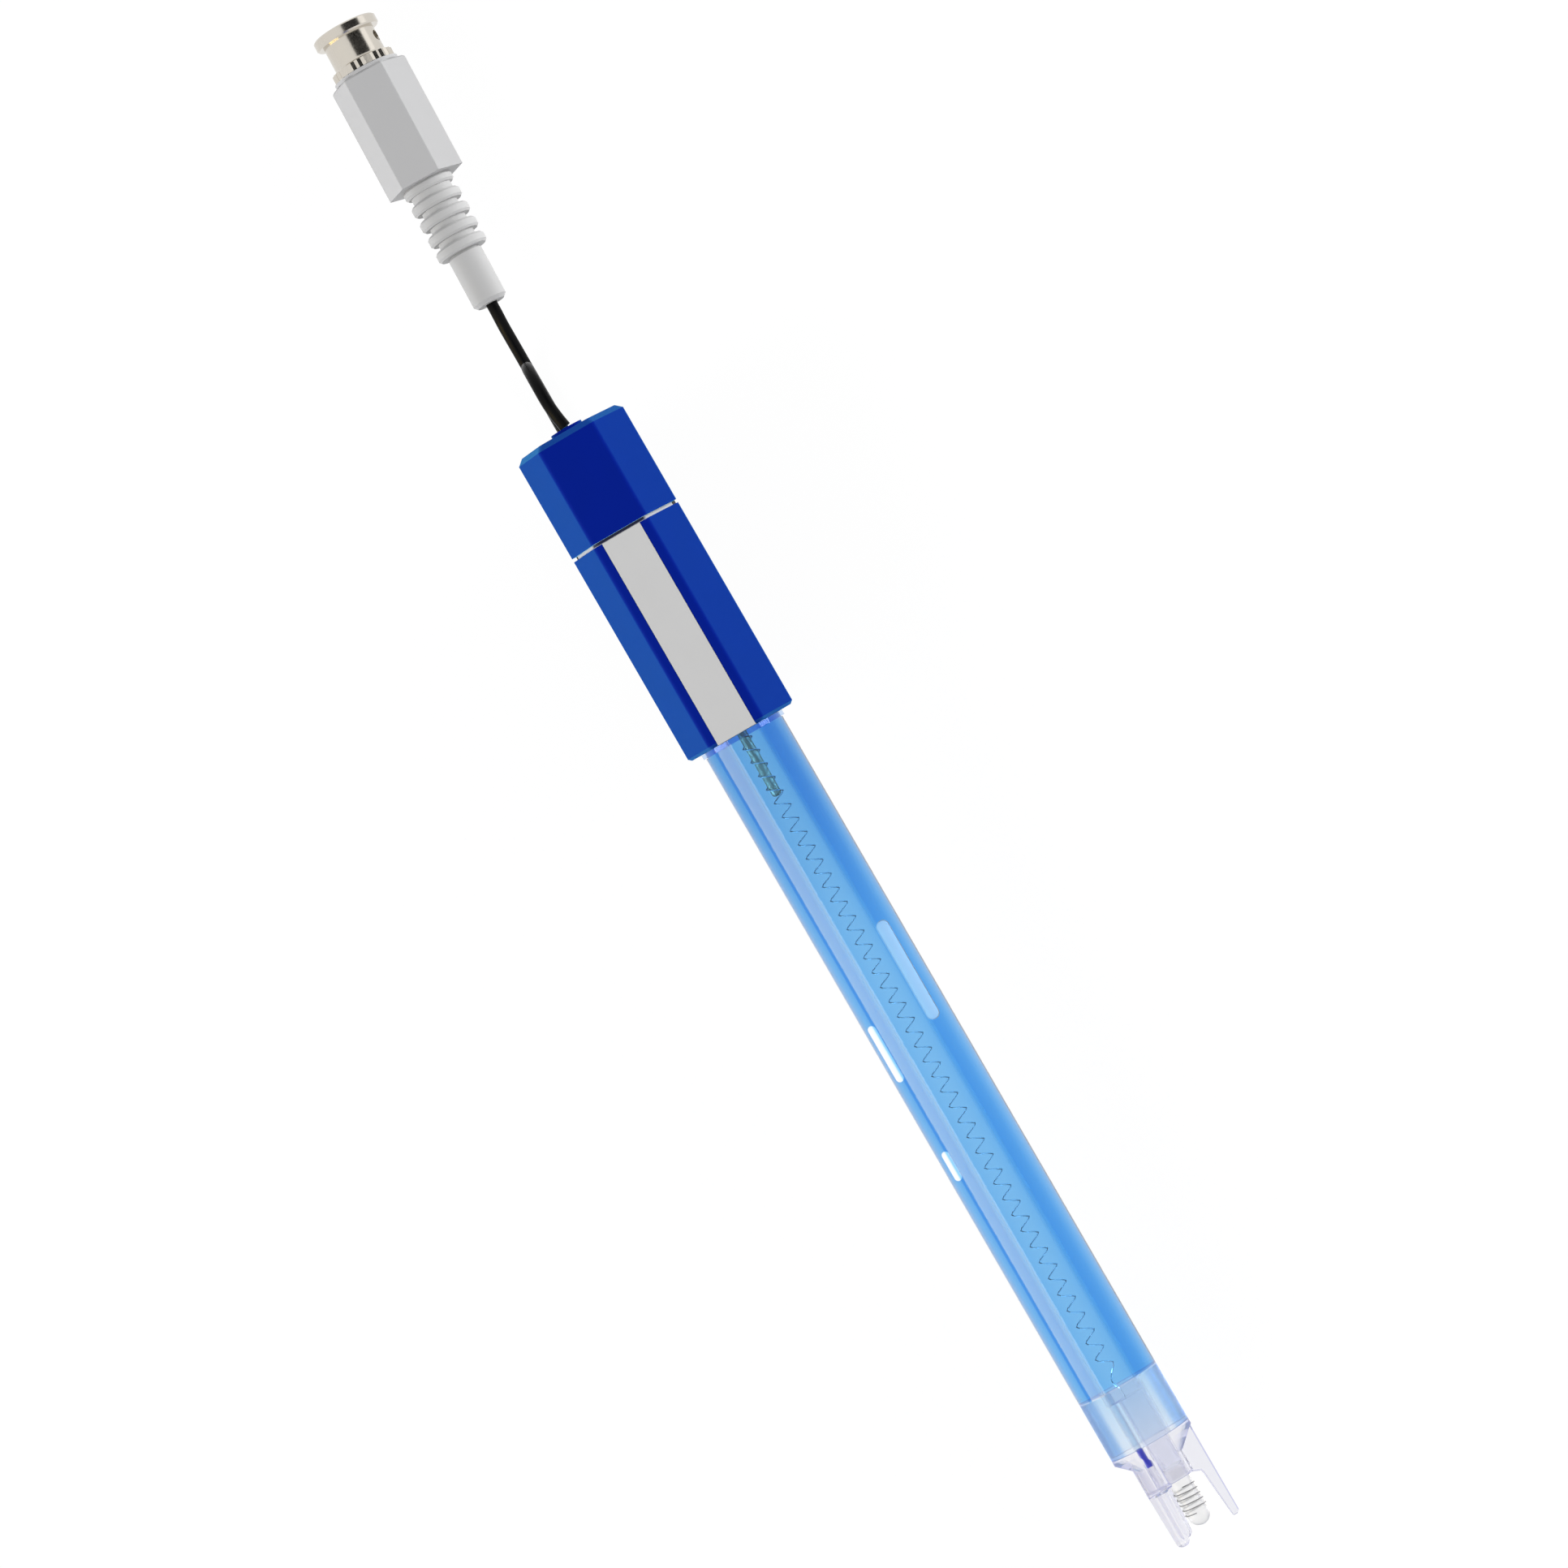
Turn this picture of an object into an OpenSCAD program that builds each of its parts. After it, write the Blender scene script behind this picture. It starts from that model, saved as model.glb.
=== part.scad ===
// Combination redox (ORP) electrode on a cable with a small bayonet plug.
// The electrode is modelled along its own axis, s = 0 at the cap's outer face and growing
// towards the tip, and is then laid down: its head rests on the tied cable and its tip on
// the surface z = 0. +X runs from the cap to the tip, +Z is up. Millimetres.

/* [Head] */
// Width of the hexagonal cap and handle across their flats
head_af = 14.5; // [14:0.1:20]
// Length of the end cap
cap_len = 15.3; // [12:0.1:25]
// Wall of the end cap's outer face
cap_wall = 2.0; // [1.4:0.1:3]
// Visible ring of the inner sleeve between cap and handle
head_gap = 0.5; // [0.3:0.1:2]
// Length of the handle shell
shell_len = 31.5; // [26:0.1:60]
// Rounding of the hexagon's six long edges
head_corner_r = 0.8; // [0.3:0.1:1.6]
// Bevel at the outer face of the cap and the lower end of the handle
head_bevel = 0.8; // [0.3:0.1:1.4]
// Width of the flush name strip in the handle's upper flat
strip_w = 5.9; // [3:0.1:7]
// Length of the inner sleeve's neck inside the cap
neck_len = 8.5; // [5:0.1:9]

/* [Shaft] */
// Outer diameter of the clear shaft tube
shaft_d = 12.0; // [11:0.1:12.2]
// Wall of the shaft tube
shaft_wall = 1.0; // [0.7:0.1:1.4]
// Length of shaft tube that shows below the handle
shaft_out_len = 111.4; // [80:0.1:160]
// Length of shaft tube held inside the handle
shaft_in_len = 11.3; // [9:0.1:14]
// Length of the inner sleeve's plug inside the shaft tube
plug_in_tube = 8.0; // [6:0.1:10]
// Diameter of the collar ring below the handle
collar_d = 12.7; // [12.5:0.1:14]
// Length of the collar ring
collar_len = 0.8; // [0.5:0.1:2]

/* [Inner parts] */
// Outer diameter of the inner stem tube
stem_d = 4.2; // [3.6:0.1:5]
// Wall of the inner stem tube
stem_wall = 0.4; // [0.3:0.05:0.5]
// Diameter of the silver rod
rod_d = 1.0; // [0.8:0.1:1.4]
// Length of the silver rod that shows below the handle
rod_out_len = 10.0; // [5:0.5:30]
// Diameter of the coiled silver wire
wire_d = 0.18; // [0.14:0.02:0.3]
// Pitch of the wire's first turn, on the rod
coil_pitch_top = 2.1; // [1.2:0.1:3]
// Pitch of the wire's last turn
coil_pitch_end = 2.6; // [1.6:0.1:4]
// Length of the big gas bubble in the gel
bubble_len = 15.4; // [6:0.1:25]
// Width of the big gas bubble
bubble_w = 1.8; // [0.8:0.1:2.2]

/* [Tip] */
// Length of the end piece inside the shaft tube
spigot_len = 8.8; // [5:0.1:14]
// Height of the end piece's rim
rim_len = 0.8; // [0.4:0.1:2]
// Height of the cone between rim and nose
cone_len = 2.4; // [1:0.1:3]
// Diameter of the nose
nose_d = 6.4; // [6:0.1:7]
// Length of the nose below the cone
nose_len = 3.3; // [2:0.1:8]
// Length of the guard prongs below the nose
prong_len = 8.1; // [4:0.1:14]
// Width of a guard prong at its root
prong_w = 2.1; // [1.4:0.1:2.6]
// Thickness of a guard prong at its root
prong_t = 1.5; // [1.1:0.1:1.7]
// Diameter of the sensor rod
sensor_d = 3.1; // [2.6:0.1:3.2]
// Distance of the sensor rod from the axis, away from the junction
sensor_y = 0.7; // [0.4:0.1:0.9]
// Length of the sensor rod below the nose
sensor_len = 7.1; // [4:0.1:12]
// Number of platinum turns on the sensor rod
turn_count = 5; // [3:1:7]
// Pitch of the platinum turns
turn_pitch = 0.8; // [0.5:0.02:0.9]
// Diameter of the platinum wire
platinum_d = 0.16; // [0.12:0.02:0.3]
// Diameter of the porous junction pin
junction_d = 0.9; // [0.5:0.1:1]
// Diameter of the lobe that carries the junction at a guard prong's root
lobe_d = 3.3; // [2.8:0.1:3.4]

/* [Plug] */
// Width of the hexagonal plug hood across its flats
hood_af = 10.0; // [9.8:0.1:12]
// Length of the plug hood
hood_len = 17.3; // [14:0.1:24]
// Diameter of the coupling's front flange
flange_d = 9.5; // [8.6:0.1:9.8]
// Length of the coupling's front flange
flange_len = 1.45; // [1:0.05:2]
// Outer diameter of the coupling sleeve
coupling_d = 7.6; // [7.5:0.1:8]
// Length of the coupling sleeve behind the flange
coupling_len = 4.0; // [3.8:0.1:7]
// Length of the coupling's serrated grip ring
grip_len = 1.15; // [0.9:0.05:2]
// Number of serrations round the grip ring
grip_teeth = 28; // [20:1:40]
// Bore of the coupling
mouth_d = 6.6; // [6.5:0.05:6.7]
// Length of the bend relief's smooth tail
boot_tail_len = 8.1; // [5:0.1:14]
// Number of rings round the bend relief
boot_rings = 4; // [3:1:6]
// Pitch of the bend relief's rings
boot_pitch = 2.4; // [2.1:0.1:3.2]
// Diameter of the bend relief's rings
boot_d = 7.4; // [6.8:0.1:9.6]

/* [Cable] */
// Diameter of the cable
cord_d = 1.7; // [1.5:0.1:2]
// Number of layers in the tied hank
hank_layers = 5; // [4:1:6]
// Length of the hank's straight runs
hank_run = 27.0; // [20:0.5:28]
// Radius of the inner folds of the hank
fold_r = 5.1; // [4.6:0.1:5.4]
// Thickness of the tie strap
tie_t = 0.45; // [0.3:0.05:0.7]
// Width of the tie strap
tie_w = 6.0; // [4:0.5:12]

/* [Hidden] */
$fn = 64;

// Clearances: a sliding fit between assembled pieces, a face gap, and a running fit
fit = 0.05;
face_gap = 0.05;
run_gap = 0.1;

// Places along the electrode's axis
shell_s0 = cap_len + head_gap;
shell_s1 = shell_s0 + shell_len;
tube_s0 = shell_s1 - shaft_in_len;
tube_s1 = shell_s1 + shaft_out_len;
sleeve_end = tube_s0 + plug_in_tube;
spigot_s0 = tube_s1 - spigot_len;
cone_s0 = tube_s1 + rim_len;
nose_s0 = cone_s0 + cone_len;
nose_s1 = nose_s0 + nose_len;
prong_s1 = nose_s1 + prong_len;
sensor_s1 = nose_s1 + sensor_len;

// Radii of the electrode's pieces; the shaft is turned down where the handle holds it
shaft_r = shaft_d / 2;
turn_down = 0.2;
seat_r = shaft_r - turn_down;
tube_bore_r = shaft_r - shaft_wall;
shell_bore_r = shaft_r + 0.2;
sleeve_r = shell_bore_r - fit;
neck_r = head_af / 2 - 1.65;
gap_depth = 0.7;
stem_r = stem_d / 2;
stem_bore_r = stem_r - stem_wall;
rod_r = rod_d / 2;
wire_r = wire_d / 2;
cord_r = cord_d / 2;
sensor_r = sensor_d / 2;
nose_r = nose_d / 2;
prong_r = shaft_r - turn_down;
socket_depth = 2.1;
web_s0 = sleeve_end - 10;

// Lobe at the foremost guard prong, and the junction's bore in it
junction_a = -30;
lobe_at = prong_r - lobe_d / 2 - 0.15;
lobe_s1 = nose_s1 + 0.2;
lobe_lip = 0.45;
lobe_lip_out = 0.13;
junction_at = sensor_r + junction_d / 2 + 1.2;

// Gland, clamp and splice in the cap
core_r = 0.4;
splice_wall = 0.45;
splice_core = 1.5;
splice_rod = 2.0;
gland_lip = 0.6;
gland_r = cord_r + 0.9;
gland_lip_r = gland_r + 0.6;
tail_end = cap_wall + 3.4;
rod_s0 = web_s0 - 6;
splice_s0 = rod_s0 - 3;

// Lay of the electrode: the head's lower flat touches the hank's far upper edge, and the
// lowest guard prong touches the surface
hank_x0 = 2.4;
hank_y = -1.25;
hank_out_r = fold_r + 1.5 * cord_d;
hank_end = hank_x0 + hank_run + 2 * hank_out_r;
hank_h = hank_layers * cord_d;
tie_side_t = tie_t * 2 / 3;
rest_h = tie_t + hank_h + face_gap;
prong_tip_w = prong_w * 0.8;
prong_bevel = 0.4;
low_prong_angle = 30 - asin(prong_tip_w / 2 / prong_r);
low_r = prong_r * cos(low_prong_angle);
rest_s = hank_end + 0.8;
tip_reach = prong_s1 - prong_bevel - rest_s;
r_diff = head_af / 2 - low_r;
tilt = asin(rest_h / norm([tip_reach, r_diff])) + atan(r_diff / tip_reach);
cap_z = rest_h + rest_s * sin(tilt) + head_af / 2 * cos(tilt);
origin_x = -((prong_s1 - gland_lip) * cos(tilt) + (prong_r - gland_lip_r) * sin(tilt)) / 2;

// Places along the plug's axis, t = 0 at the bend relief's tail and growing to the mouth
boot_ring_len = boot_pitch * 0.62;
boot_base_gap = 1.05;
boot_neck_s = boot_tail_len + (boot_rings - 1) * boot_pitch + boot_ring_len;
boot_base_len = 1.3;
hood_t0 = boot_neck_s + boot_base_gap + boot_base_len;
hood_t1 = hood_t0 + hood_len;
boss_len = 0.5;
grip_t0 = hood_t1 + boss_len + run_gap;
sleeve_t0 = grip_t0 + grip_len;
flange_t0 = sleeve_t0 + coupling_len;
mouth_t = flange_t0 + flange_len;
step_t = sleeve_t0 + 0.65;
washer_t = 0.3;
collar_t0 = step_t + face_gap + washer_t;
collar_t1 = collar_t0 + 1.0;
contact_t1 = mouth_t - 1.5;

// Radii of the plug's pieces
mouth_r = mouth_d / 2;
entry_r = mouth_r + 0.2;
plug_neck_r = mouth_r - 0.45;
contact_r = plug_neck_r - 0.4;
plug_bore_r = contact_r - 0.3;
hood_bore_r = plug_neck_r + fit;
grip_r = coupling_d / 2 + 0.8;
pin_r = 0.37;

// The plug lies on its hexagon's flat, its tail towards the cap
plug_x = -22.9;
plug_y = -1.88;
plug_yaw = 1.2;

// Routes of the two free ends of the cable, from the cap's outer face, z from the surface
lead_sides = 8;
cap_route = [
    [-gland_lip - 0.2, 0, 20.17], [-2.6, -0.3, 20.3], [-4.8, -0.51, 20.4], [-8.0, -0.6, 19.6],
    [-10.3, -0.8, 17.4], [-11.2, -1.08, 14.3], [-10.3, -1.36, 11.2], [-8.0, -1.56, 8.9],
    [-5.0, -1.62, 8.1], [-2.9, -1.58, 8.1], [-1.386, -1.5, 8.1], [0.6, -1.162, 8.1],
    [2.75, 0.153, 8.1]
];
plug_route = [
    [plug_x, plug_y, 5.0], [-21.3, -1.91, 5.0], [-19.4, -2.0, 4.7], [-17.5, -2.07, 3.9],
    [-15.6, -2.15, 2.9], [-13.8, -2.24, 1.9], [-12.0, -2.3, 1.2], [-10.0, -2.33, 0.9],
    [-7.2, -2.33, 0.9], [-4.2, -2.33, 1.0], [-2.4, -2.27, 1.2], [-0.7, -2.2, 1.3],
    [1.3, -2.543, 1.3], [2.9, -3.4, 1.3]
];

// Places a piece of the electrode, modelled along +X from the cap's outer face
module on_electrode() {
    translate([origin_x, 0, cap_z]) rotate([0, tilt, 0]) children();
}

// Places a piece of the plug, modelled along +X from the bend relief's tail
module on_plug() {
    translate([origin_x + plug_x, plug_y, hood_af / 2]) rotate([0, 0, 180 - plug_yaw]) children();
}

// Places a piece of the cable, modelled from the cap's outer face
module on_cable() {
    translate([origin_x, 0, 0]) children();
}

// Turns a solid that was made along +Z so that it runs along +X from s
module along(s) {
    translate([s, 0, 0]) rotate([0, 90, 0]) children();
}

// Round bar from s0 to s1
module bar(s0, s1, r) {
    along(s0) cylinder(h = s1 - s0, r = r);
}

// Ring from s0 to s1
module ring(s0, s1, r_out, r_in) {
    along(s0) difference() {
        cylinder(h = s1 - s0, r = r_out);
        translate([0, 0, -1]) cylinder(h = s1 - s0 + 2, r = r_in);
    }
}

// Round bar from s0 to s1 with a bevel round each end
module bevel_bar(s0, s1, r, bevel) {
    along(s0) rotate_extrude() polygon([
        [0, 0], [r - bevel, 0], [r, bevel], [r, s1 - s0 - bevel], [r - bevel, s1 - s0], [0, s1 - s0]
    ]);
}

// Hexagon with rounded corners: a flat faces up and a corner points to each side
function hex_outline(af, r) = [
    for (side = [0:5], step = [0:4])
        let (corner = 30 + 60 * side, a = corner - 30 + 15 * step, d = (af / 2 - r) / cos(30))
        [d * cos(corner) + r * cos(a), d * sin(corner) + r * sin(a)]
];

// Hexagonal bar from s0 to s1
module hex_bar(s0, s1, af, r) {
    along(s0) linear_extrude(height = s1 - s0) polygon(hex_outline(af, r));
}

// Hexagonal bar of length len whose far end has a bevel
module hex_bevel(len, af, r, bevel) {
    linear_extrude(height = len - bevel) polygon(hex_outline(af, r));
    translate([0, 0, len - bevel])
        linear_extrude(height = bevel, scale = (af - 2 * bevel) / af) polygon(hex_outline(af, r));
}

// Unit vector
function unit(v) = v / norm(v);

// Direction of a path at its point i
function heading(path, i) =
    unit(path[min(i + 1, len(path) - 1)] - path[max(i - 1, 0)]);

// Points of a round tube along a path; side is a direction that the path never takes
function tube_points(path, r, sides, side) = [
    for (i = [0:len(path) - 1])
        let (t = heading(path, i), u = unit(cross(t, side)), v = cross(t, u))
        for (k = [0:sides - 1]) path[i] + r * (cos(360 * k / sides) * u + sin(360 * k / sides) * v)
];

// Faces of a round tube with closed ends
function tube_faces(rings, sides) = concat(
    [[for (k = [0:sides - 1]) k]],
    [for (i = [0:rings - 2], k = [0:sides - 1])
        let (n = (k + 1) % sides)
        [i * sides + k, (i + 1) * sides + k, (i + 1) * sides + n, i * sides + n]],
    [[for (k = [sides - 1:-1:0]) (rings - 1) * sides + k]]
);

// Round tube along a path
module tube(path, r, sides, side) {
    polyhedron(
        points = tube_points(path, r, sides, side),
        faces = tube_faces(len(path), sides),
        convexity = 10
    );
}

// Hexagonal end cap with a hole for the gland and a seat for the inner sleeve's neck
module end_cap() {
    color("midnightblue") on_electrode() difference() {
        along(cap_len) mirror([0, 0, 1]) hex_bevel(cap_len, head_af, head_corner_r, head_bevel);
        bar(cap_wall, cap_len + 1, neck_r + fit);
        bar(-1, cap_wall + 1, gland_r + fit);
    }
}

// Rubber gland in the cap's face, with a lip on each side of the wall
module cord_gland() {
    color("dimgray") on_electrode() difference() {
        union() {
            bar(-gland_lip, -face_gap, gland_lip_r);
            bar(-face_gap, cap_wall + face_gap, gland_r);
            bar(cap_wall + face_gap, cap_wall + 1, gland_lip_r);
        }
        bar(-gland_lip - 1, cap_wall + 2, cord_r + fit);
    }
}

// Stretch of the cable inside the gland and the cap
module cord_tail() {
    color("black") on_electrode() bar(-gland_lip, tail_end, cord_r);
}

// Crimped ring that keeps the cable from being pulled out of the cap
module cord_clamp() {
    color("silver") on_electrode()
        ring(cap_wall + 1 + face_gap, tail_end - 0.4, cord_r + 0.8, cord_r + fit / 2);
}

// Inner conductor from the cable to the splice
module core_wire() {
    color("peru") on_electrode() bar(tail_end, splice_s0 + splice_core, core_r);
}

// Shrunk sleeve over the soldered splice of conductor and silver rod
module splice_sleeve() {
    color("firebrick") on_electrode() difference() {
        bar(splice_s0, rod_s0 + splice_rod, rod_r + splice_wall);
        bar(splice_s0 - 1, splice_s0 + splice_core, core_r + fit / 2);
        bar(rod_s0, rod_s0 + splice_rod + 1, rod_r + fit / 2);
    }
}

// Hexagonal handle shell, open along its upper flat for the name strip
module handle_shell() {
    color("midnightblue") on_electrode() difference() {
        along(shell_s0) hex_bevel(shell_len, head_af, head_corner_r, head_bevel / 2);
        bar(shell_s0 - 1, shell_s1 + 1, shell_bore_r);
        translate([shell_s0 - 1, -strip_w / 2 - fit, 0])
            cube([shell_len + 2, strip_w + 2 * fit, head_af]);
    }
}

// Light inner sleeve: neck in the cap, ring in the gap, name strip, and plug in the tube
module inner_sleeve() {
    color("gainsboro") on_electrode() difference() {
        union() {
            bar(cap_len - neck_len, cap_len, neck_r);
            hex_bar(cap_len, shell_s0, head_af - 2 * gap_depth, head_corner_r);
            bar(shell_s0, tube_s0 - face_gap, sleeve_r);
            bar(tube_s0 - face_gap, sleeve_end, tube_bore_r - fit);
            difference() {
                translate([shell_s0, -strip_w / 2, 0]) cube([shell_len, strip_w, head_af / 2]);
                bar(tube_s0 - face_gap, shell_s1 + 1, seat_r + fit);
            }
        }
        bar(cap_len - neck_len - 1, web_s0, 4);
        bar(web_s0 - 1, sleeve_end + 1, stem_r + fit);
        ring(sleeve_end - 5, sleeve_end - 3.7, tube_bore_r + 1, tube_bore_r - 0.7);
    }
}

// Rubber ring that seals the inner sleeve in the shaft tube
module sleeve_seal() {
    color("dimgray") on_electrode() along(sleeve_end - 4.35) rotate_extrude()
        translate([tube_bore_r - 0.35, 0]) circle(r = 0.32, $fn = 24);
}

// Clear shaft tube
module shaft_tube() {
    color("lightskyblue", 0.4) on_electrode() {
        ring(tube_s0, shell_s1 + collar_len, seat_r, tube_bore_r);
        ring(shell_s1 + collar_len, tube_s1, shaft_r, tube_bore_r);
    }
}

// Collar ring that closes the joint of shaft and handle
module shaft_collar() {
    color("steelblue") on_electrode()
        ring(shell_s1 + face_gap, shell_s1 + collar_len - face_gap, collar_d / 2, seat_r + fit / 2);
}

// Places what lies on the junction's own axis
module on_junction() {
    rotate([-junction_a, 0, 0]) translate([0, 0, junction_at]) children();
}

// Gas bubbles in the gel: distance below the handle, length, width, radius and angle of place
bubbles = [
    [39.3, bubble_len, bubble_w, 3.9, -56],
    [47.8, 8.7, 1.2, 4.25, 70],
    [65.5, 4.5, 1.1, 4.25, 66]
];

// Gas bubble: a round bar with round ends, of width w, centred at s and at polar place r, a
module bubble(s, length, w, r, a) {
    rotate([a, 0, 0]) translate([0, 0, r]) {
        bar(s - (length - w) / 2, s + (length - w) / 2, w / 2);
        for (end = [-1, 1])
            translate([s + end * (length - w) / 2, 0, 0]) sphere(d = w, $fn = 24);
    }
}

// Blue electrolyte gel round the stem and down to the junction, with gas bubbles at its wall
module electrolyte_gel() {
    color("dodgerblue", 0.5) on_electrode() {
        difference() {
            ring(sleeve_end + face_gap, spigot_s0 - face_gap, tube_bore_r - fit / 2, stem_r + fit / 2);
            for (b = bubbles) bubble(shell_s1 + b[0], b[1], b[2], b[3], b[4]);
        }
        on_junction() bar(spigot_s0 - 1, tube_s1, junction_d / 2);
    }
}

// Clear inner stem from the inner sleeve to the end piece
module inner_stem() {
    color("azure", 0.5) on_electrode()
        ring(web_s0 + 0.2, spigot_s0 + socket_depth - face_gap, stem_r, stem_bore_r);
}

// Rubber stopper that centres the silver rod in the stem
module stem_seal() {
    color("dimgray") on_electrode()
        ring(web_s0 + 1, web_s0 + 5, stem_bore_r - fit / 2, rod_r + fit / 2);
}

// Silver rod from the splice into the shaft
module silver_rod() {
    color("silver") on_electrode() {
        bar(rod_s0, shell_s1 + rod_out_len - rod_r, rod_r);
        translate([shell_s1 + rod_out_len - rod_r, 0, 0]) sphere(r = rod_r, $fn = 32);
    }
}

// Place of the silver wire after n turns: its pitch grows from the rod to the tip, and its
// coil narrows over the last turns until the wire ends in the sensor rod
coil_s0 = shell_s1 + 0.6;
coil_s1 = spigot_s0 - 3;
coil_growth = (coil_pitch_end - coil_pitch_top) / (coil_s1 - coil_s0);
coil_turns = ln(1 + coil_growth * (coil_s1 - coil_s0) / coil_pitch_top) / coil_growth;
coil_steps = 8;
coil_r = min((rod_r + wire_r + fit) / cos(180 / coil_steps), stem_bore_r - wire_r - fit);
function coil_point(n) =
    let (s = coil_s0 + coil_pitch_top / coil_growth * (exp(coil_growth * n) - 1))
    [s, coil_r * sin(360 * n), coil_r * cos(360 * n)];
coil_count = floor(coil_turns * coil_steps);
coil_tail = spigot_s0 + socket_depth - face_gap - coil_point(coil_count / coil_steps)[0];
coil_path = concat(
    [for (i = [0:coil_count]) coil_point(i / coil_steps)],
    [for (i = [1:coil_steps])
        let (f = i / coil_steps, last = coil_point(coil_count / coil_steps))
        let (a = 360 * coil_count / coil_steps)
        [last[0] + coil_tail * f, coil_r * (1 - f) * sin(a + 360 * f), coil_r * (1 - f) * cos(a + 360 * f)]]
);

// Silver wire, wound round the rod and then in an open coil down the stem
module silver_coil() {
    color("silver") on_electrode() tube(coil_path, wire_r, 5, [1, 0, 0]);
}

// One guard prong, along +X, its outer side up
module prong() {
    root_s = cone_s0 - 0.2;
    inner_r = prong_r - prong_t;
    intersection() {
        along(0) rotate_extrude() polygon([
            [nose_r - 0.3, root_s], [prong_r, root_s], [prong_r, prong_s1 - prong_bevel],
            [prong_r - prong_bevel, prong_s1], [prong_r - 0.95, prong_s1],
            [inner_r, nose_s1 + 1.2], [inner_r - 0.12, nose_s1 + 0.5], [nose_r - 0.3, nose_s1 - 0.05]
        ]);
        linear_extrude(height = shaft_d) union() {
            polygon([
                [root_s - 1, -prong_w / 2], [nose_s1, -prong_w / 2],
                [prong_s1 - prong_tip_w / 2, -prong_tip_w / 2],
                [prong_s1 - prong_tip_w / 2, prong_tip_w / 2],
                [nose_s1, prong_w / 2], [root_s - 1, prong_w / 2]
            ]);
            translate([prong_s1 - prong_tip_w / 2, 0]) circle(d = prong_tip_w, $fn = 32);
        }
    }
}

// Clear end piece: spigot in the tube, rim, cone, nose and three guard prongs
module tip_body() {
    color("aliceblue", 0.6) on_electrode() difference() {
        union() {
            bar(spigot_s0, tube_s1, tube_bore_r - fit);
            bar(tube_s1, cone_s0, shaft_r);
            along(cone_s0) cylinder(h = cone_len, r1 = shaft_r, r2 = nose_r + 0.3);
            bar(nose_s0, nose_s1, nose_r);
            for (a = [junction_a, 90, 210]) rotate([-a, 0, 0]) prong();
            rotate([-junction_a, 0, 0]) translate([0, 0, lobe_at]) {
                bar(cone_s0 - 0.2, lobe_s1, lobe_d / 2);
                bar(lobe_s1 - lobe_lip, lobe_s1, lobe_d / 2 + lobe_lip_out);
            }
        }
        bar(spigot_s0 - 1, spigot_s0 + socket_depth, stem_r + fit);
        translate([0, sensor_y, 0]) bar(spigot_s0 + socket_depth - 1, nose_s1 + 1, sensor_r + fit);
        on_junction() bar(spigot_s0 - 1, lobe_s1 + 1, junction_d / 2 + fit / 2);
    }
}

// Porous junction pin through the end piece, its end recessed in the lobe
module junction_pin() {
    color("royalblue") on_electrode() on_junction()
        bar(tube_s1 + face_gap, nose_s0 - 0.2, junction_d / 2);
}

// Glass rod that carries the platinum winding, with a domed end
module sensor_rod() {
    color("azure", 0.7) on_electrode() {
        translate([0, sensor_y, 0])
            bar(spigot_s0 + socket_depth + face_gap, sensor_s1 - sensor_r, sensor_r);
        translate([sensor_s1 - sensor_r, sensor_y, 0]) sphere(r = sensor_r);
    }
}

// Platinum wire wound round the sensor rod
module platinum_winding() {
    steps = 16;
    wound_r = (sensor_r + platinum_d / 2 + fit / 2) / cos(180 / steps);
    first = sensor_s1 - 1.9 - turn_count * turn_pitch;
    path = [
        for (i = [0:turn_count * steps])
            [first + turn_pitch * i / steps, sensor_y + wound_r * sin(360 * i / steps),
                wound_r * cos(360 * i / steps)]
    ];
    color("silver") on_electrode() tube(path, platinum_d / 2, 6, [1, 0, 0]);
}

// Hexagonal hood of the plug, with a round boss behind the coupling
module plug_hood() {
    color("silver") on_plug() difference() {
        union() {
            along(hood_t0) hex_bevel(hood_len, hood_af, 0.25, 0.3);
            bar(hood_t1, hood_t1 + boss_len, hood_af / 2 - 0.15);
        }
        bar(hood_t0 - 1, hood_t1 + boss_len + 1, hood_bore_r);
    }
}

// Bend relief: smooth tail, rings, base ring and a plug inside the hood
module bend_boot() {
    core_r = boot_d / 2 - 1;
    tail_r = boot_d / 2 - 1.2;
    ring_bevel = 0.3;
    color("lightgray") on_plug() difference() {
        union() {
            bevel_bar(0, boot_tail_len + 0.1, tail_r, 0.5);
            bar(boot_tail_len, boot_neck_s, core_r);
            for (i = [0:boot_rings - 1])
                bevel_bar(boot_tail_len + i * boot_pitch, boot_tail_len + i * boot_pitch + boot_ring_len,
                    boot_d / 2, ring_bevel);
            bar(boot_neck_s, hood_t0 - boot_base_len, boot_d / 2 - 0.7);
            bevel_bar(hood_t0 - boot_base_len, hood_t0, boot_d / 2, ring_bevel);
            bar(hood_t0, hood_t0 + 3, hood_bore_r - fit);
        }
        bar(-1, hood_t0 + 4, cord_r + fit);
    }
}

// Stretch of the cable inside the bend relief and the hood
module plug_cable() {
    color("black") on_plug() bar(0, hood_t0 + 8, cord_r);
}

// Crimp ring on the cable inside the hood
module cable_crimp() {
    color("peru") on_plug() ring(hood_t0 + 3.1, hood_t0 + 7, cord_r + 1, cord_r + fit / 2);
}

// Metal body of the plug: neck in hood and coupling, and the collar that holds the washer
module plug_body() {
    color("silver") on_plug() difference() {
        union() {
            bar(hood_t0 + 9, collar_t0, plug_neck_r);
            bar(collar_t0, collar_t1, mouth_r - run_gap);
        }
        bar(hood_t0 + 8, collar_t1 + 1, plug_bore_r);
        bar(collar_t0, collar_t1 + 1, contact_r + fit / 2);
    }
}

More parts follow.
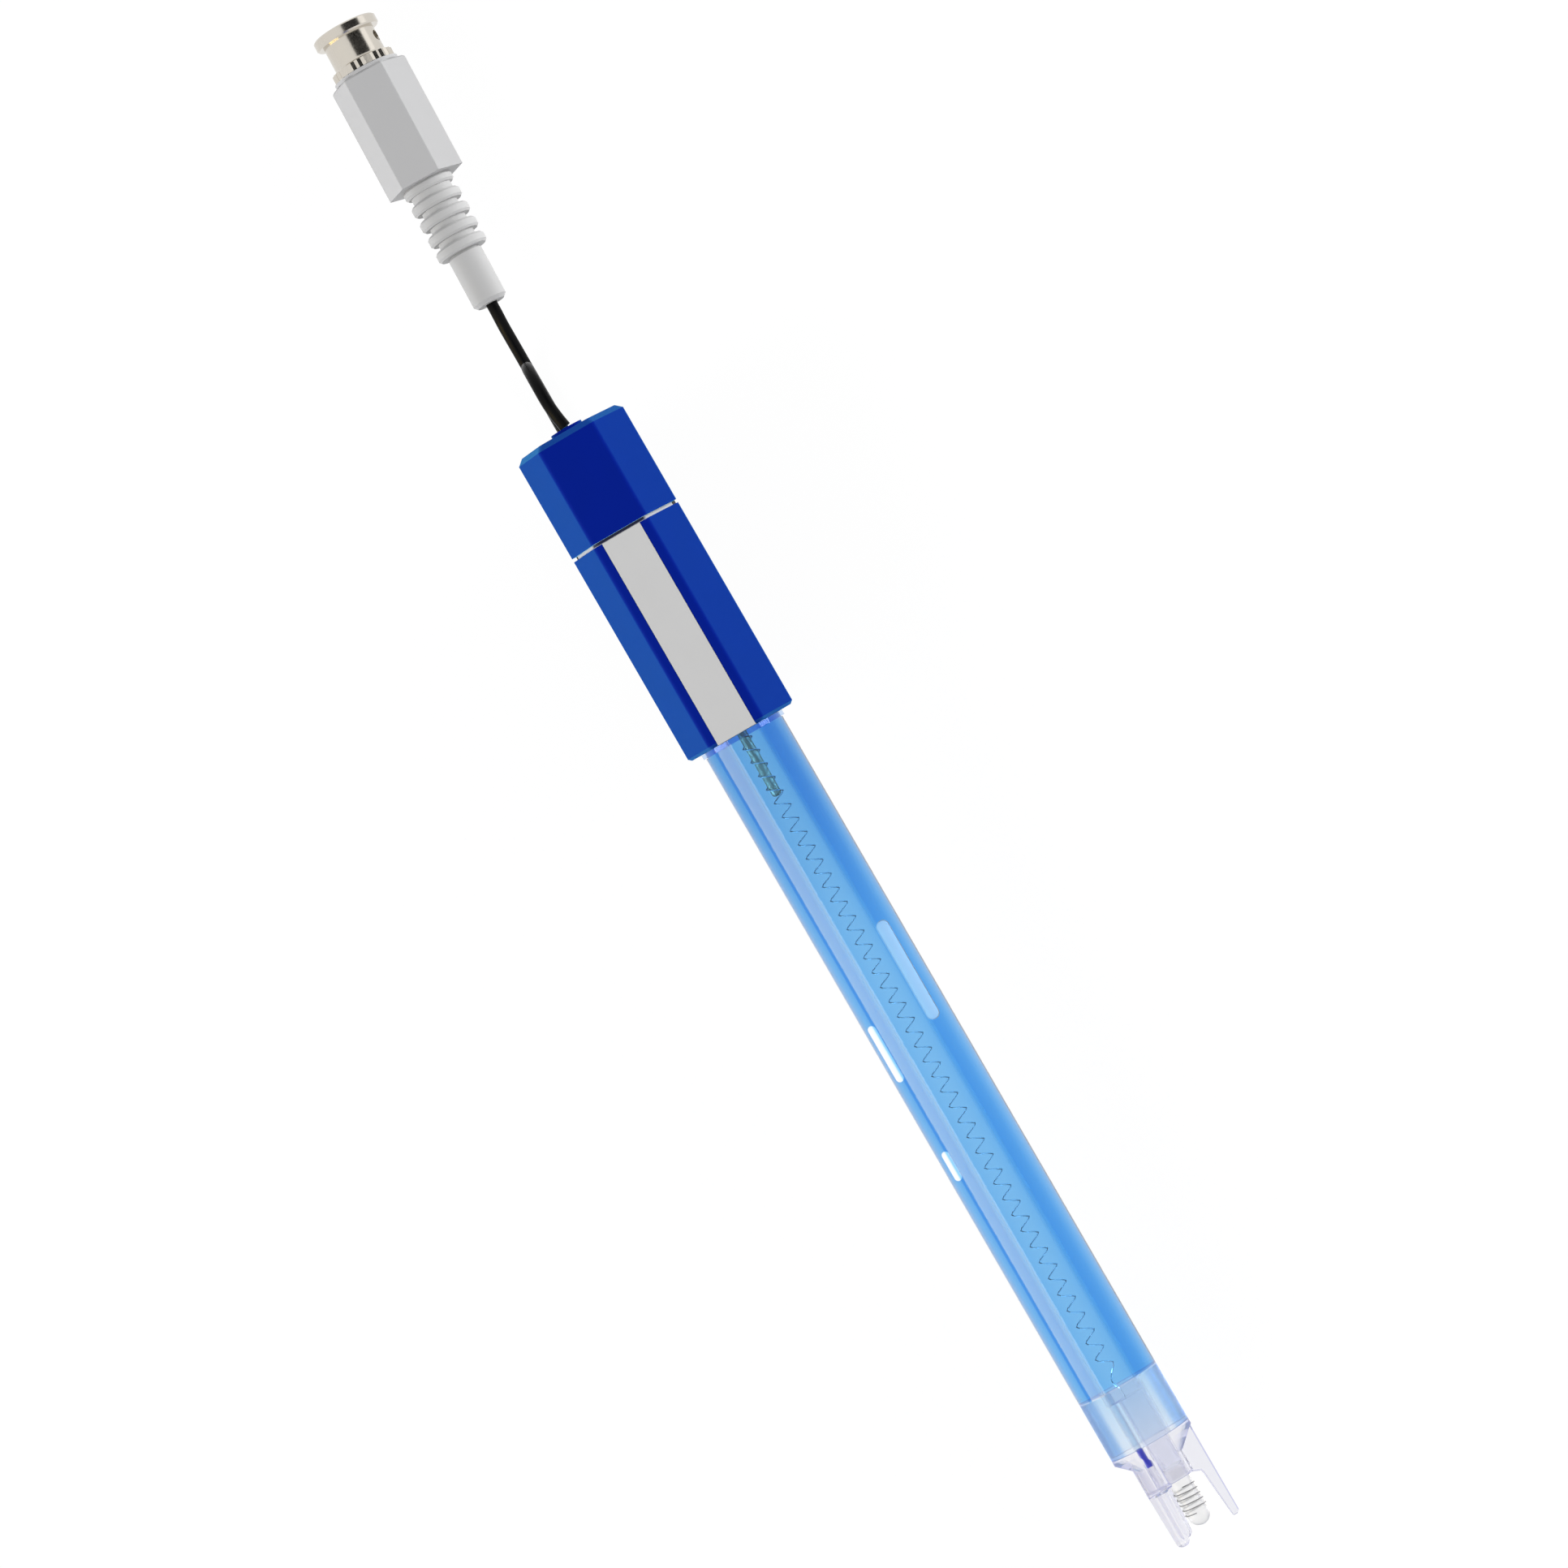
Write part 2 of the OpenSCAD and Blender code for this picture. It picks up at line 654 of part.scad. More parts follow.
// Slotted outer contact of the plug
module contact_sleeve() {
    color("gold") on_plug() difference() {
        ring(collar_t0, contact_t1, contact_r, plug_bore_r);
        for (a = [0, 90]) rotate([a + 45, 0, 0])
            translate([collar_t1 + 0.4, -mouth_r, -0.15]) cube([mouth_t, mouth_d, 0.3]);
    }
}

// Insulator that holds the centre contact
module insulator() {
    color("white") on_plug()
        ring(hood_t0 + 12, contact_t1 - 1.1, plug_bore_r - fit / 2, pin_r + fit / 2);
}

// Centre contact with its solder cup
module centre_contact() {
    color("gold") on_plug() {
        bar(hood_t0 + 8 + face_gap, hood_t0 + 11, 2.2 * pin_r);
        bar(hood_t0 + 11, contact_t1 - 0.5, pin_r);
        along(contact_t1 - 0.5) cylinder(h = 0.4, r1 = pin_r, r2 = pin_r / 2);
    }
}

// Spring washer between the coupling's step and the body's collar
module wave_washer() {
    color("gray") on_plug()
        ring(step_t + face_gap, collar_t0, mouth_r - run_gap, plug_neck_r + fit / 2);
}

// Places of the cam groove's cutter: straight in from the mouth, then along a helix
groove_r = 0.65;
groove_skin = 0.2;
latch_r = 0.8;
groove_in_t = flange_t0 - 0.3;
groove_end_t = step_t + 1.65;
groove_entry_a = 170;
groove_turn = 92;
groove_steps = 10;
groove_places = concat(
    [[mouth_t, 0], [flange_t0 + 0.6, 0]],
    [for (i = [0:groove_steps])
        [groove_in_t + (groove_end_t - groove_in_t) * i / groove_steps, groove_turn * i / groove_steps]]
);

// Places a cutter of the coupling at t and at angle a past the groove's entry
module in_groove(side, t, a) {
    rotate([side + groove_entry_a - a, 0, 0]) translate([t, 0, 0]) children();
}

// Outline of the coupling's sleeve: a fillet rises from it to the grip ring
sleeve_fillet = 0.5;
sleeve_outline = concat(
    [[0, 0], [coupling_d / 2 + sleeve_fillet, 0]],
    [for (a = [195:15:270])
        [coupling_d / 2 + sleeve_fillet * (1 + sin(a)), sleeve_fillet * (1 + cos(a))]],
    [[coupling_d / 2, flange_t0 - sleeve_t0], [0, flange_t0 - sleeve_t0]]
);

// Rotating bayonet coupling: flange, sleeve with two cam grooves that end in round latch
// holes, and serrated grip ring
module coupling_sleeve() {
    color("silver") on_plug() difference() {
        union() {
            along(grip_t0) linear_extrude(height = grip_len) polygon([
                for (i = [0:2 * grip_teeth - 1])
                    (grip_r - (i % 2) * 0.18) * [cos(180 * i / grip_teeth), sin(180 * i / grip_teeth)]
            ]);
            along(sleeve_t0) rotate_extrude() polygon(sleeve_outline);
            bevel_bar(flange_t0, mouth_t, flange_d / 2, 0.2);
        }
        bar(grip_t0 - 1, mouth_t + 1, plug_neck_r + fit);
        bar(step_t, mouth_t + 1, mouth_r);
        bar(contact_t1 + face_gap, mouth_t + 1, entry_r);
        for (side = [0, 180]) {
            for (place = groove_places) in_groove(side, place[0], place[1])
                cylinder(h = coupling_d / 2 - groove_skin, r = groove_r, $fn = 24);
            in_groove(side, groove_end_t, groove_turn) cylinder(h = coupling_d, r = latch_r, $fn = 24);
        }
    }
}

// Free cable from the gland round to the top of the hank
module lead_cap_side() {
    color("black") on_cable() tube(cap_route, cord_r, lead_sides, [0, 1, 0]);
}

// Tied hank of cable, as the closed solid of its outer shape
module cord_hank() {
    color("black") on_cable() translate([hank_x0 + hank_out_r, hank_y, tie_t])
        linear_extrude(height = hank_h) union() {
            translate([0, -hank_out_r]) square([hank_run, 2 * hank_out_r]);
            for (x = [0, hank_run]) translate([x, 0]) circle(r = hank_out_r);
        }
}

// Strap round the middle of the hank
module cord_tie() {
    color("dimgray") on_cable()
        translate([hank_x0 + hank_out_r + (hank_run - tie_w) / 2, hank_y - hank_out_r, 0]) difference() {
            translate([0, -tie_side_t, 0])
                cube([tie_w, 2 * (hank_out_r + tie_side_t), hank_h + 2 * tie_t]);
            translate([-1, 0, tie_t]) cube([tie_w + 2, 2 * hank_out_r, hank_h]);
        }
}

// Free cable from the bend relief down to the surface and to the bottom of the hank
module lead_plug_side() {
    color("black") on_cable() tube(plug_route, cord_r, lead_sides, [0, 1, 0]);
}

end_cap();
cord_gland();
cord_tail();
cord_clamp();
core_wire();
splice_sleeve();
handle_shell();
inner_sleeve();
sleeve_seal();
shaft_tube();
shaft_collar();
electrolyte_gel();
inner_stem();
stem_seal();
silver_rod();
silver_coil();
tip_body();
junction_pin();
sensor_rod();
platinum_winding();
plug_hood();
bend_boot();
plug_cable();
cable_crimp();
plug_body();
contact_sleeve();
insulator();
centre_contact();
wave_washer();
coupling_sleeve();
lead_cap_side();
cord_hank();
cord_tie();
lead_plug_side();
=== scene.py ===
import math

import bpy
from mathutils import Matrix, Vector


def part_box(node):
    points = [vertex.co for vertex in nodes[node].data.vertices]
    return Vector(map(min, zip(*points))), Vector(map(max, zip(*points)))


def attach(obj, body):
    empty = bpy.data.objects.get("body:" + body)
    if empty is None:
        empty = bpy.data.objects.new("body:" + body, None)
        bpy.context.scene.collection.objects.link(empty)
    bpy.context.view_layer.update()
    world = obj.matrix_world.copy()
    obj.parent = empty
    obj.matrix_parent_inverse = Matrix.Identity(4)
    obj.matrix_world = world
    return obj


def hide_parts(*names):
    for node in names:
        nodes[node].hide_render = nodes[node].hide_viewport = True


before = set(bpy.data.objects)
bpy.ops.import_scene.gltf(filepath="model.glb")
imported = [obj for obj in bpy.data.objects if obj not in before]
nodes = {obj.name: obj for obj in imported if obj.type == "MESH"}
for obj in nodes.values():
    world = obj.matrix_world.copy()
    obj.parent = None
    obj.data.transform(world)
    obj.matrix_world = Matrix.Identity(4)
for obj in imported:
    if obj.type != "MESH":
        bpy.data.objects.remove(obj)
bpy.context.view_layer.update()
MM = 0.001
WHITE = (1, 1, 1, 1)

# Axis of the electrode in the row frame. Places along it are in millimetres from ORIGIN, the
# middle of the cap's outer face.
TILT = math.radians(4.88697)
ORIGIN = Vector((-86.183, 0.0, 20.0998))
AXIS = Vector((math.cos(TILT), 0.0, -math.sin(TILT)))
ACROSS = Vector((0.0, 1.0, 0.0))
ABOVE = Vector((math.sin(TILT), 0.0, math.cos(TILT)))
GAP_S = (15.3, 15.75)     # gap between the cap and the handle
PLUG_S = 150.0            # where the clear end piece's plug starts inside the shaft
FREE_ROD_S = 163.0        # where the sensor rod leaves the end piece
BORE_R = 5.25             # bore of the shaft
BUBBLE_R = (2.4, 4.9)     # the skins of the gas bubbles lie between these distances from the axis
BUBBLE_S = (60.0, 149.0)  # and between these places along it


def place(s):
    """Point of the axis in the row frame, in metres."""
    return (ORIGIN + AXIS * s) * MM


# ---------------------------------------------------------------- camera
LEAN = math.radians(5.3)    # the camera's lean about the electrode's axis
ROLL = math.radians(60)     # the axis' slant in the picture
VIEW_S, VIEW_V = 56.3, 1.5  # the picture's middle, along and across the axis
DISTANCE, LENS = 1.200, 202.0
towards = ABOVE * math.cos(LEAN) + ACROSS * math.sin(LEAN)
side = ACROSS * math.cos(LEAN) - ABOVE * math.sin(LEAN)
right = AXIS * math.cos(ROLL) + side * math.sin(ROLL)
top = AXIS * -math.sin(ROLL) + side * math.cos(ROLL)
camera = bpy.data.objects.new("camera", bpy.data.cameras.new("camera"))
bpy.context.scene.collection.objects.link(camera)
camera.data.lens = LENS
camera.data.sensor_width = 36.0
camera.data.clip_start = 0.01
camera.data.clip_end = 20.0
aim = place(VIEW_S) + side * VIEW_V * MM
eye = aim + towards * DISTANCE
camera.matrix_world = Matrix((
    (right.x, top.x, towards.x, eye.x),
    (right.y, top.y, towards.y, eye.y),
    (right.z, top.z, towards.z, eye.z),
    (0, 0, 0, 1),
))
bpy.context.scene.camera = camera


# ---------------------------------------------------------------- material helpers
def srgb(r, g, b):
    """Linear colour from sRGB values of 0 to 255."""
    out = []
    for c in (r, g, b):
        c /= 255
        out.append(c / 12.92 if c <= 0.04045 else ((c + 0.055) / 1.055) ** 2.4)
    return (*out, 1.0)


class Shading:
    """The nodes of a material, or of the world, with short calls for what is used here."""

    def __init__(self, owner, output="ShaderNodeOutputMaterial"):
        owner.use_nodes = True
        self.owner = owner
        self.tree = owner.node_tree
        self.tree.nodes.clear()
        self.out = self.tree.nodes.new(output)

    def node(self, kind, inputs=None, **props):
        n = self.tree.nodes.new(kind)
        for key, value in props.items():
            setattr(n, key, value)
        for key, value in (inputs or {}).items():
            self.put(value, n.inputs[key])
        return n

    def put(self, value, socket):
        if isinstance(value, bpy.types.NodeSocket):
            self.tree.links.new(value, socket)
        elif isinstance(value, bpy.types.Node):
            self.tree.links.new(value.outputs[0], socket)
        else:
            socket.default_value = value

    def surface(self, shader):
        self.put(shader, self.out.inputs["Surface"])

    def math(self, op, a, b=0.0, c=0.0):
        n = self.node("ShaderNodeMath", operation=op)
        for i, value in enumerate((a, b, c)):
            self.put(value, n.inputs[i])
        return n.outputs[0]

    def range(self, value, a, b, c=0.0, d=1.0, smooth=False):
        return self.node("ShaderNodeMapRange",
                         {"Value": value, "From Min": a, "From Max": b, "To Min": c, "To Max": d},
                         interpolation_type="SMOOTHSTEP" if smooth else "LINEAR").outputs[0]

    def coords(self, turned=False):
        """Object coordinates in millimetres. Turned ones have X along the electrode's axis."""
        tex = self.node("ShaderNodeTexCoord").outputs["Object"]
        if turned:
            return self.node("ShaderNodeMapping", {
                "Vector": tex, "Location": [c * MM for c in ORIGIN], "Rotation": (0.0, TILT, 0.0),
                "Scale": (MM, MM, MM)}, vector_type="TEXTURE").outputs[0]
        return self.node("ShaderNodeMapping", {
            "Vector": tex, "Scale": (1 / MM, 1 / MM, 1 / MM)}, vector_type="POINT").outputs[0]

    def axes(self, vector):
        """The X, Y and Z of a vector, by name."""
        return self.node("ShaderNodeSeparateXYZ", {0: vector}).outputs

    def radius(self, parts):
        """Distance from the electrode's axis, in millimetres, from turned coordinates."""
        flat = self.node("ShaderNodeCombineXYZ", {"Y": parts["Y"], "Z": parts["Z"]})
        return self.node("ShaderNodeVectorMath", {0: flat}, operation="LENGTH").outputs["Value"]

    def facing(self):
        """0 where a surface faces the view and 1 where it is grazed. Only clear pieces use it."""
        return self.node("ShaderNodeLayerWeight", {"Blend": 0.5}).outputs["Facing"]

    def seen(self):
        """1 for rays of the camera and for those from gloss and glass, and 0 for the others."""
        ray = self.node("ShaderNodeLightPath").outputs
        return self.math("MAXIMUM", ray["Is Camera Ray"],
                         self.math("MAXIMUM", ray["Is Glossy Ray"], ray["Is Transmission Ray"]))

    def glass(self, colour, ior, rough=0.02):
        return self.node("ShaderNodeBsdfPrincipled", {
            "Base Color": colour, "Roughness": rough, "IOR": ior, "Transmission Weight": 1.0})

    def straight(self, colour=WHITE):
        """Lets light through without bending it."""
        return self.node("ShaderNodeBsdfTransparent", {"Color": colour})

    def noise(self, vector, scale, detail=3.0, rough=0.5):
        return self.node("ShaderNodeTexNoise", {"Vector": vector, "Scale": scale, "Detail": detail,
                                                "Roughness": rough}).outputs["Fac"]

    def bump(self, height, strength, distance):
        return self.node("ShaderNodeBump", {"Height": height, "Strength": strength,
                                            "Distance": distance}).outputs[0]

    def mix(self, fac, a, b):
        """Mixed shaders."""
        return self.node("ShaderNodeMixShader", {0: fac, 1: a, 2: b}).outputs[0]

    def blend(self, fac, a, b, how="MIX"):
        """Mixed colours."""
        return self.node("ShaderNodeMix", {0: fac, 6: a, 7: b}, data_type="RGBA",
                         blend_type=how).outputs[2]


def new_material(name):
    return Shading(bpy.data.materials.new(name))


def moulded(name, colour, rough, grain=0.10, spread=0.06, specular=0.5, sheen=0.0,
            sheen_tint=WHITE, painted_lit_side=False, painted_gap_shade=False):
    """Moulded plastic: slight random colour variation, fine grain in the bump, and uneven gloss.

    The colour varies by the spread at random; as painted light, one side can be painted paler,
    as if lit more. Painted shade darkens the front of the ring in the gap between cap and handle.
    """
    m = new_material(name)
    v = m.coords()
    drift_and_painted_light = m.noise(v, 0.22, 2.0)
    # Painted light: the colour is painted paler towards +Y, as if that side were lit more.
    if painted_lit_side:
        drift_and_painted_light = m.math("MULTIPLY_ADD", drift_and_painted_light, 0.2, m.range(m.axes(v)["Y"], -3.0, 1.5, 0.0, 0.8))
    fine = m.noise(v, 9.0, 3.0)
    dark = [c * (1 - spread) for c in colour[:3]] + [1.0]
    light = [min(1.0, c * (1 + spread)) for c in colour[:3]] + [1.0]
    tint = m.blend(drift_and_painted_light, dark, light)
    if painted_gap_shade:
        # Painted shade: the front of the ring in the gap is painted dark, as the shadow under the
        # cap.
        at = m.axes(m.coords(turned=True))
        front = m.math("MULTIPLY", m.range(at["Y"], -4.6, -4.2),
                       m.range(at["Y"], 3.6, 4.0, 1.0, 0.0))
        ring = m.math("MULTIPLY", m.range(at["X"], GAP_S[0], GAP_S[0] + 0.05),
                      m.range(at["X"], GAP_S[1] - 0.1, GAP_S[1], 1.0, 0.0))
        tint = m.blend(m.math("MULTIPLY", front, ring), tint, srgb(40, 44, 70))
    bsdf = m.node("ShaderNodeBsdfPrincipled", {
        "Base Color": tint,
        "Roughness": m.range(fine, 0.3, 0.7, rough - 0.04, rough + 0.05),
        "Specular IOR Level": specular,
        "Sheen Weight": sheen,
        "Sheen Roughness": 0.5,
        "Sheen Tint": sheen_tint,
        "Normal": m.bump(fine, grain, 0.03 * MM),
    })
    m.surface(bsdf)
    return m.owner


def metal(name, colour, rough, turned=False, freq=6.0):
    """Plated or drawn metal with faint mottling."""
    m = new_material(name)
    streak = m.noise(m.coords(turned), freq, 4.0, 0.6)
    bsdf = m.node("ShaderNodeBsdfPrincipled", {
        "Base Color": m.blend(streak, [c * 0.92 for c in colour[:3]] + [1.0], colour),
        "Metallic": 1.0,
        "Roughness": m.range(streak, 0.3, 0.7, rough * 0.8, rough * 1.25),
        "Normal": m.bump(streak, 0.06, 0.02 * MM),
    })
    m.surface(bsdf)
    return m.owner


def dress(material, *names):
    """Gives CAD nodes their material."""
    for name in names:
        slots = nodes[name].data.materials
        slots.clear()
        slots.append(material)


# ---------------------------------------------------------------- opaque materials
navy = moulded("navy_plastic", srgb(0, 2, 135), rough=0.5, grain=0.12, spread=0.05, specular=0.012,
               sheen=0.9, sheen_tint=(0.08, 0.56, 0.9, 1.0))
# The ring in the gap gets painted shade in front.
grey_sleeve = moulded("light_grey_plastic", srgb(205, 205, 205), rough=0.5, grain=0.08, spread=0.02,
                      specular=0.2, painted_gap_shade=True)
grey_hood = moulded("grey_hood_plastic", srgb(186, 186, 187), rough=0.5, grain=0.10, spread=0.015,
                    specular=0.25)
# The boot is painted paler on its +Y side, as painted light.
grey_boot = moulded("grey_boot_elastomer", srgb(191, 191, 191), rough=0.6, grain=0.2, spread=0.12,
                    specular=0.2, painted_lit_side=True)
rubber = moulded("black_rubber", srgb(20, 20, 22), rough=0.62, grain=0.25, spread=0.10,
                 specular=0.2)
red = moulded("shrink_sleeve", srgb(150, 40, 35), rough=0.5)
ceramic = moulded("junction_ceramic", srgb(45, 55, 180), rough=0.6, grain=0.3)
nickel = metal("nickel", srgb(212, 206, 196), rough=0.19)
steel = metal("spring_steel", srgb(170, 170, 170), rough=0.3)
gold = metal("gold", srgb(214, 178, 104), rough=0.25)
copper = metal("copper", srgb(200, 130, 95), rough=0.3)
silver = metal("silver", srgb(243, 248, 250), rough=0.28, turned=True, freq=9.0)
worn_silver = metal("worn_silver", srgb(205, 196, 168), rough=0.55, turned=True, freq=2.0)
platinum = metal("platinum", srgb(150, 150, 150), rough=0.3)
ptfe = moulded("white_insulator", srgb(232, 232, 228), rough=0.4, grain=0.05, spread=0.01)

dress(navy, "end_cap", "handle_shell", "cord_gland")
dress(grey_sleeve, "inner_sleeve")
dress(rubber, "sleeve_seal", "stem_seal", "cord_tail", "plug_cable", "cord_hank", "lead_cap_side",
      "lead_plug_side")
dress(red, "splice_sleeve")
dress(copper, "core_wire", "cable_crimp")
dress(steel, "cord_clamp", "wave_washer")
dress(grey_hood, "plug_hood")
dress(grey_boot, "bend_boot")
dress(nickel, "plug_body", "coupling_sleeve", "contact_sleeve")
dress(gold, "centre_contact")
dress(ptfe, "insulator")
dress(worn_silver, "silver_rod")
dress(silver, "silver_coil")
dress(platinum, "platinum_winding")
dress(ceramic, "junction_pin")


# ---------------------------------------------------------------- clear materials
LEAK = 0.3  # share of light that goes straight on, so that none stays caught in corners


def tube_material():
    """Clear tube: its outer wall bends light, and its bore, wet by the gel, doesn't.

    It is tinted at its edges and round the plug. It has painted shade: a darker lengthwise stripe
    on its +Y side, a darker line on its -Y side, and a darker zone near the handle.
    """
    m = new_material("clear_shaft")
    at = m.axes(m.coords(turned=True))
    along, y = at["X"], at["Y"]
    edge = m.facing()
    core = m.blend(m.range(along, PLUG_S, PLUG_S + 10.0), srgb(189, 228, 253), srgb(233, 247, 255))
    pale = m.blend(m.range(edge, 0.18, 0.30, smooth=True), core, srgb(140, 192, 242))
    # Painted shade: a lengthwise stripe on the +Y side is painted darker blue, as the side the
    # light reaches less.
    shaded_side = m.math("MULTIPLY", m.range(y, 2.5, 3.1, smooth=True), m.range(y, 4.7, 5.6, 1.0, 0.3))
    # Painted shade: a thin darker blue line along the -Y side.
    shade_streak = m.math("MULTIPLY", m.range(y, -4.4, -4.1, smooth=True),
                  m.range(y, -3.9, -3.6, 1.0, 0.0))
    # Colour of the painted shade on the +Y side, darker nearer the handle.
    side_shade_colour = m.blend(m.range(along, 46.0, 80.0), srgb(110, 180, 240), srgb(171, 221, 250))
    wall = m.blend(shaded_side, srgb(252, 253, 255), side_shade_colour)
    wall = m.blend(shade_streak, wall, srgb(99, 185, 243))
    wall = m.blend(m.range(edge, 0.5, 0.85), wall, srgb(225, 200, 222))
    # Painted shade near the handle: the whole wall is tinted darker towards it.
    shade = m.blend(m.range(along, 44.0, 90.0, smooth=True), srgb(205, 226, 237), WHITE)
    filled = m.glass(m.blend(1.0, wall, shade, "MULTIPLY"), 1.40)
    plugged = m.mix(LEAK, m.glass(pale, 1.2), m.straight(m.blend(0.5, pale, WHITE)))
    outer = m.mix(m.range(along, PLUG_S - 0.2, PLUG_S + 0.1), filled, plugged)
    bore = m.range(m.radius(at), BORE_R - 0.05, BORE_R + 0.05)
    m.surface(m.mix(bore, m.straight(), outer))
    return m.owner


def gel_material():
    """Blue gel: no outer skin of its own, and a skin round its gas bubbles that glows as a painted
    reflection, most on the -Y side.
    """
    m = new_material("blue_gel")
    at = m.axes(m.coords(turned=True))
    r = m.radius(at)
    bubbles = m.math("MULTIPLY", m.range(r, BUBBLE_R[0] - 0.05, BUBBLE_R[0]),
                     m.range(r, BUBBLE_R[1], BUBBLE_R[1] + 0.03, 1.0, 0.0))
    bubbles = m.math("MULTIPLY", bubbles, m.range(at["X"], BUBBLE_S[0], BUBBLE_S[0] + 0.1))
    bubbles = m.math("MULTIPLY", bubbles,
                     m.range(at["X"], BUBBLE_S[1], BUBBLE_S[1] + 0.2, 1.0, 0.0))
    # Painted reflection: the bubble skins glow white, though they are no lamp, mostly on the -Y
    # side.
    white = m.node("ShaderNodeEmission", {"Color": (1, 0.97, 1, 1), "Strength": 1.15})
    skin = m.mix(m.range(at["Y"], -2.0, 0.0, 0.9, 0.22), m.glass(WHITE, 1.12, 0.03), white)
    m.surface(m.mix(bubbles, m.straight(), skin))
    m.put(m.node("ShaderNodeVolumeAbsorption", {"Color": (0.03, 0.61, 0.915, 1.0),
                                                "Density": 300.0}), m.out.inputs["Volume"])
    return m.owner


def rod_material():
    """Sensor rod: clear inside the end piece, frosted where it stands free."""
    m = new_material("frosted_glass")
    along = m.axes(m.coords(turned=True))["X"]
    m.surface(m.mix(m.range(along, FREE_ROD_S, FREE_ROD_S + 1.0),
                    m.straight((0.97, 0.98, 1.0, 1.0)), m.glass(srgb(240, 240, 240), 1.35, 0.35)))
    return m.owner


def clear(name, colour, ior, rim=None, leak=0.0):
    """Clear plastic, with a painted reflection tinting it where the view grazes it, if a rim colour
    is given.
    """
    m = new_material(name)
    if rim:
        colour = m.blend(m.range(m.facing(), 0.45, 0.95), colour, rim)
    m.surface(m.mix(leak, m.glass(colour, ior), m.straight(colour)))
    return m.owner


dress(tube_material(), "shaft_tube")
dress(gel_material(), "electrolyte_gel")
dress(clear("clear_stem", srgb(252, 253, 255), 1.02), "inner_stem")
dress(clear("clear_collar", srgb(190, 215, 248), 1.3), "shaft_collar")
# The tip's rim colour is a painted reflection at its grazed edges.
dress(clear("clear_tip", srgb(240, 240, 245), 1.13, rim=srgb(150, 155, 215), leak=LEAK),
      "tip_body")
dress(rod_material(), "sensor_rod")


# ---------------------------------------------------------------- cable
# All in millimetres, with x from the middle of the cap's outer face and y and z of the row frame.
CORD_D = 1.7
HANK_X, HANK_RUN, HANK_Y = 10.05, 27.0, -1.25  # centre of the near bends, run to the far ones
OUTER, INNER = 6.8, 5.1                        # radii of the bends
LEAD_BEND = 6.0                                # radius where a lead joins the hank
LAYERS = (8.1, 6.4, 4.7, 3.0, 1.3)             # heights, from the top
CAP_ROUTE = [
    (-0.8, 0, 20.17), (-2.6, -0.3, 20.3), (-4.8, -0.51, 20.4), (-8.0, -0.6, 19.6),
    (-10.3, -0.8, 17.4), (-11.2, -1.08, 14.3), (-10.3, -1.36, 11.2), (-8.0, -1.56, 8.9),
    (-5.0, -1.62, 8.1), (-2.9, -1.58, 8.1), (-1.386, -1.5, 8.1),
]
PLUG_ROUTE = [
    (-22.9, -1.88, 5.0), (-21.3, -1.91, 5.0), (-19.4, -2.0, 4.7), (-17.5, -2.07, 3.9),
    (-15.6, -2.15, 2.9), (-13.8, -2.24, 1.9), (-12.0, -2.3, 1.2), (-10.0, -2.33, 0.9),
    (-7.2, -2.33, 0.9), (-4.2, -2.33, 1.0), (-2.4, -2.27, 1.2), (-0.7, -2.2, 1.3),
]


def smooth(points, steps):
    """Catmull-Rom points through a route."""
    out = []
    for i in range(len(points) - 1):
        a = Vector(points[max(i - 1, 0)])
        b, c = Vector(points[i]), Vector(points[i + 1])
        d = Vector(points[min(i + 2, len(points) - 1)])
        for k in range(steps):
            t = k / steps
            out.append(0.5 * (2 * b + (c - a) * t + (2 * a - 5 * b + 4 * c - d) * t * t
                              + (3 * b - a - 3 * c + d) * t ** 3))
    out.append(Vector(points[-1]))
    return out


def arc(cx, cy, r, a0, a1, z, count):
    """Level arc between two angles in degrees."""
    return [Vector((cx + r * math.cos(math.radians(a0 + (a1 - a0) * i / count)),
                    cy + r * math.sin(math.radians(a0 + (a1 - a0) * i / count)), z))
            for i in range(count + 1)]


def hank_path():
    """Ten turns in five layers, from the top's outer turn to the bottom's outer turn.

    The cord changes over to the next turn along its straight run on the side of -Y.
    """
    turns = [(OUTER, 0), (INNER, 0), (INNER, 1), (OUTER, 1), (OUTER, 2),
             (INNER, 2), (INNER, 3), (OUTER, 3), (INNER, 4), (OUTER, 4)]
    far = HANK_X + HANK_RUN
    points = []
    for k, (r, layer) in enumerate(turns):
        z = LAYERS[layer]
        points += arc(HANK_X, HANK_Y, r, 153.3 if k == 0 else 270.0, 90.0, z, 14 if k else 6)
        points += [Vector((HANK_X + HANK_RUN * i / 4, HANK_Y + r, z)) for i in (1, 2, 3)]
        points += arc(far, HANK_Y, r, 90.0, -90.0, z, 14)
        next_r, next_layer = turns[min(k + 1, len(turns) - 1)]
        for i in range(1, 12):
            f = i / 12
            w = min(max((f - 0.25) / 0.5, 0.0), 1.0)  # eased over the middle half of the run
            w = w * w * (3 - 2 * w)
            points.append(Vector((far - HANK_RUN * f, HANK_Y - r - (next_r - r) * w,
                                  z + (LAYERS[next_layer] - z) * w)))
    points += arc(HANK_X, HANK_Y, OUTER, 270.0, 212.9, LAYERS[-1], 6)
    return points


